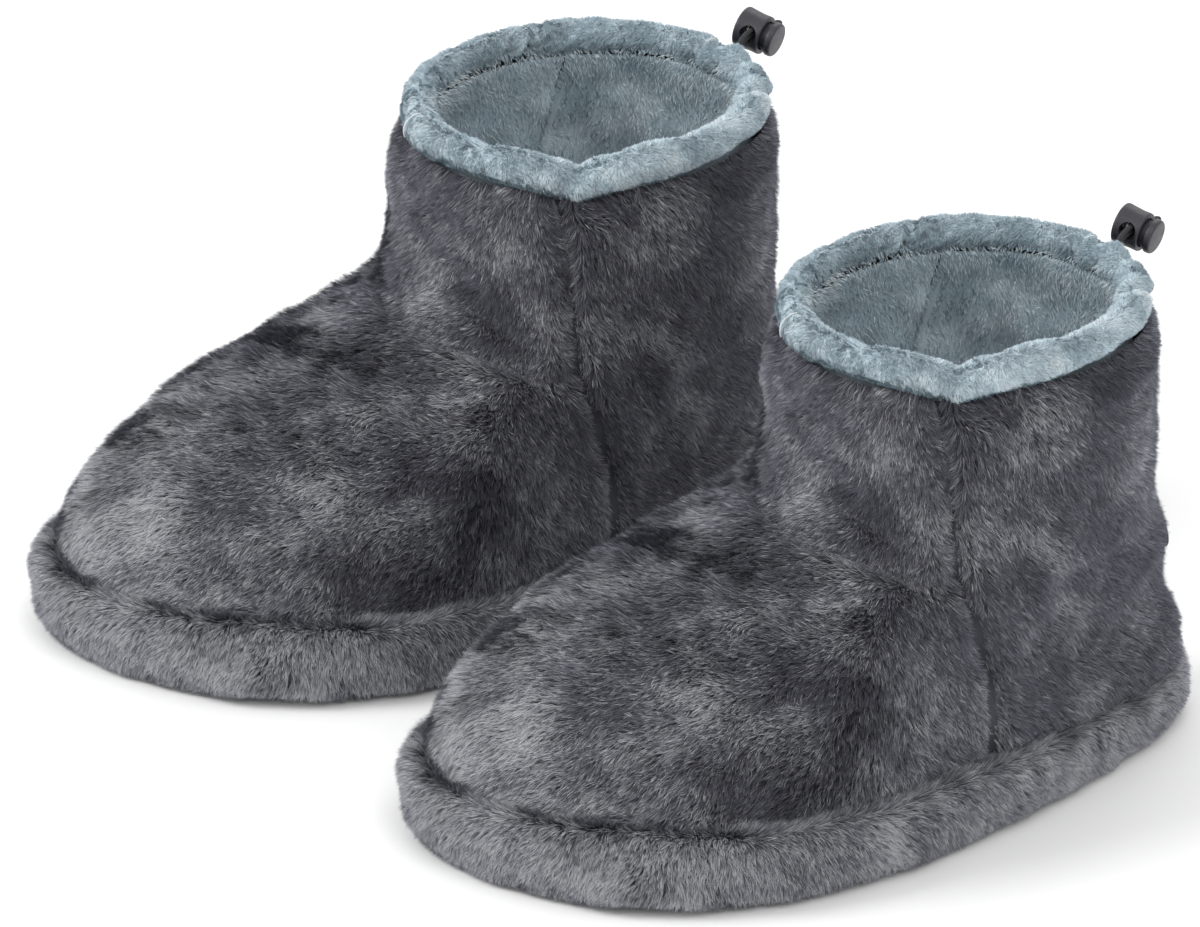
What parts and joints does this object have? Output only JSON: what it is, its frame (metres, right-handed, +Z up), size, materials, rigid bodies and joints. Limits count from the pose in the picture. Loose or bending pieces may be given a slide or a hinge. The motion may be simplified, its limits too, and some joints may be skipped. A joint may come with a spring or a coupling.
{
  "type": "heated boots",
  "caption": "Plush heated ankle boots with long-pile uppers, a rolled fleece collar drawn in by an elastic cord and spring lock, and a heating layer under the fleece insole.",
  "frame": {"origin": "middle of the pair on the floor, under the centre of the overall bounds", "axes": "+Z up, toes towards -Y, +X towards the wearer's left; the left boot is at +X and stands further back"},
  "size_m": [0.3673, 0.3577, 0.1943],
  "materials": {
    "pile_fur": "long brushed pile, slate blue-grey",
    "coral_fleece": "short fleece, pale blue-grey",
    "sole_fabric": "dotted non-slip cloth",
    "foam": "open foam",
    "felt": "needle felt",
    "board": "stiffened board",
    "heating_cable": "silicone sheath",
    "black_plastic": "fine matt moulding",
    "cord_elastic": "braided elastic",
    "spring_steel": "drawn wire"
  },
  "bodies": {
    "boots": {"left_outsole": "sole_fabric", "left_midsole_foam": "foam", "left_heating_pad": "felt", "left_heating_wire": "heating_cable", "left_insole": "coral_fleece", "left_thermostat": "black_plastic", "left_sole_band": "pile_fur", "left_toe_vamp": "pile_fur", "left_front_shaft": "pile_fur", "left_rear_quarter": "pile_fur", "left_lining_front": "coral_fleece", "left_lining_rear": "coral_fleece", "left_toe_puff": "board", "left_heel_counter": "board", "left_power_inlet": "black_plastic", "left_lead_wire": "heating_cable", "left_collar_channel": "coral_fleece", "left_drawcord": "cord_elastic", "right_outsole": "sole_fabric", "right_midsole_foam": "foam", "right_heating_pad": "felt", "right_heating_wire": "heating_cable", "right_insole": "coral_fleece", "right_thermostat": "black_plastic", "right_sole_band": "pile_fur", "right_toe_vamp": "pile_fur", "right_front_shaft": "pile_fur", "right_rear_quarter": "pile_fur", "right_lining_front": "coral_fleece", "right_lining_rear": "coral_fleece", "right_toe_puff": "board", "right_heel_counter": "board", "right_power_inlet": "black_plastic", "right_lead_wire": "heating_cable", "right_collar_channel": "coral_fleece", "right_drawcord": "cord_elastic"},
    "left_cord_lock": {"left_cord_lock_body": "black_plastic", "left_cord_lock_spring": "spring_steel"},
    "left_cord_lock_button": {"left_cord_lock_plunger": "black_plastic"},
    "right_cord_lock": {"right_cord_lock_body": "black_plastic", "right_cord_lock_spring": "spring_steel"},
    "right_cord_lock_button": {"right_cord_lock_plunger": "black_plastic"}
  },
  "joints": [
    {"name": "left_cord_lock_slide", "type": "slide", "parent": "boots", "child": "left_cord_lock", "axis": [-0.5924, 0.7645, -0.2542], "range_m": [0, 0.008]},
    {"name": "left_cord_lock_press", "type": "slide", "parent": "left_cord_lock", "child": "left_cord_lock_button", "axis": [-0.8056, -0.562, 0.1874], "range_m": [0, 0.0016], "stiffness_N_per_m": 300, "springref_m": -0.002, "deforming": ["left_cord_lock_spring"]},
    {"name": "right_cord_lock_slide", "type": "slide", "parent": "boots", "child": "right_cord_lock", "axis": [-0.5924, 0.7645, -0.2542], "range_m": [0, 0.008]},
    {"name": "right_cord_lock_press", "type": "slide", "parent": "right_cord_lock", "child": "right_cord_lock_button", "axis": [-0.8056, -0.562, 0.1874], "range_m": [0, 0.0016], "stiffness_N_per_m": 300, "springref_m": -0.002, "deforming": ["right_cord_lock_spring"]}
  ]
}
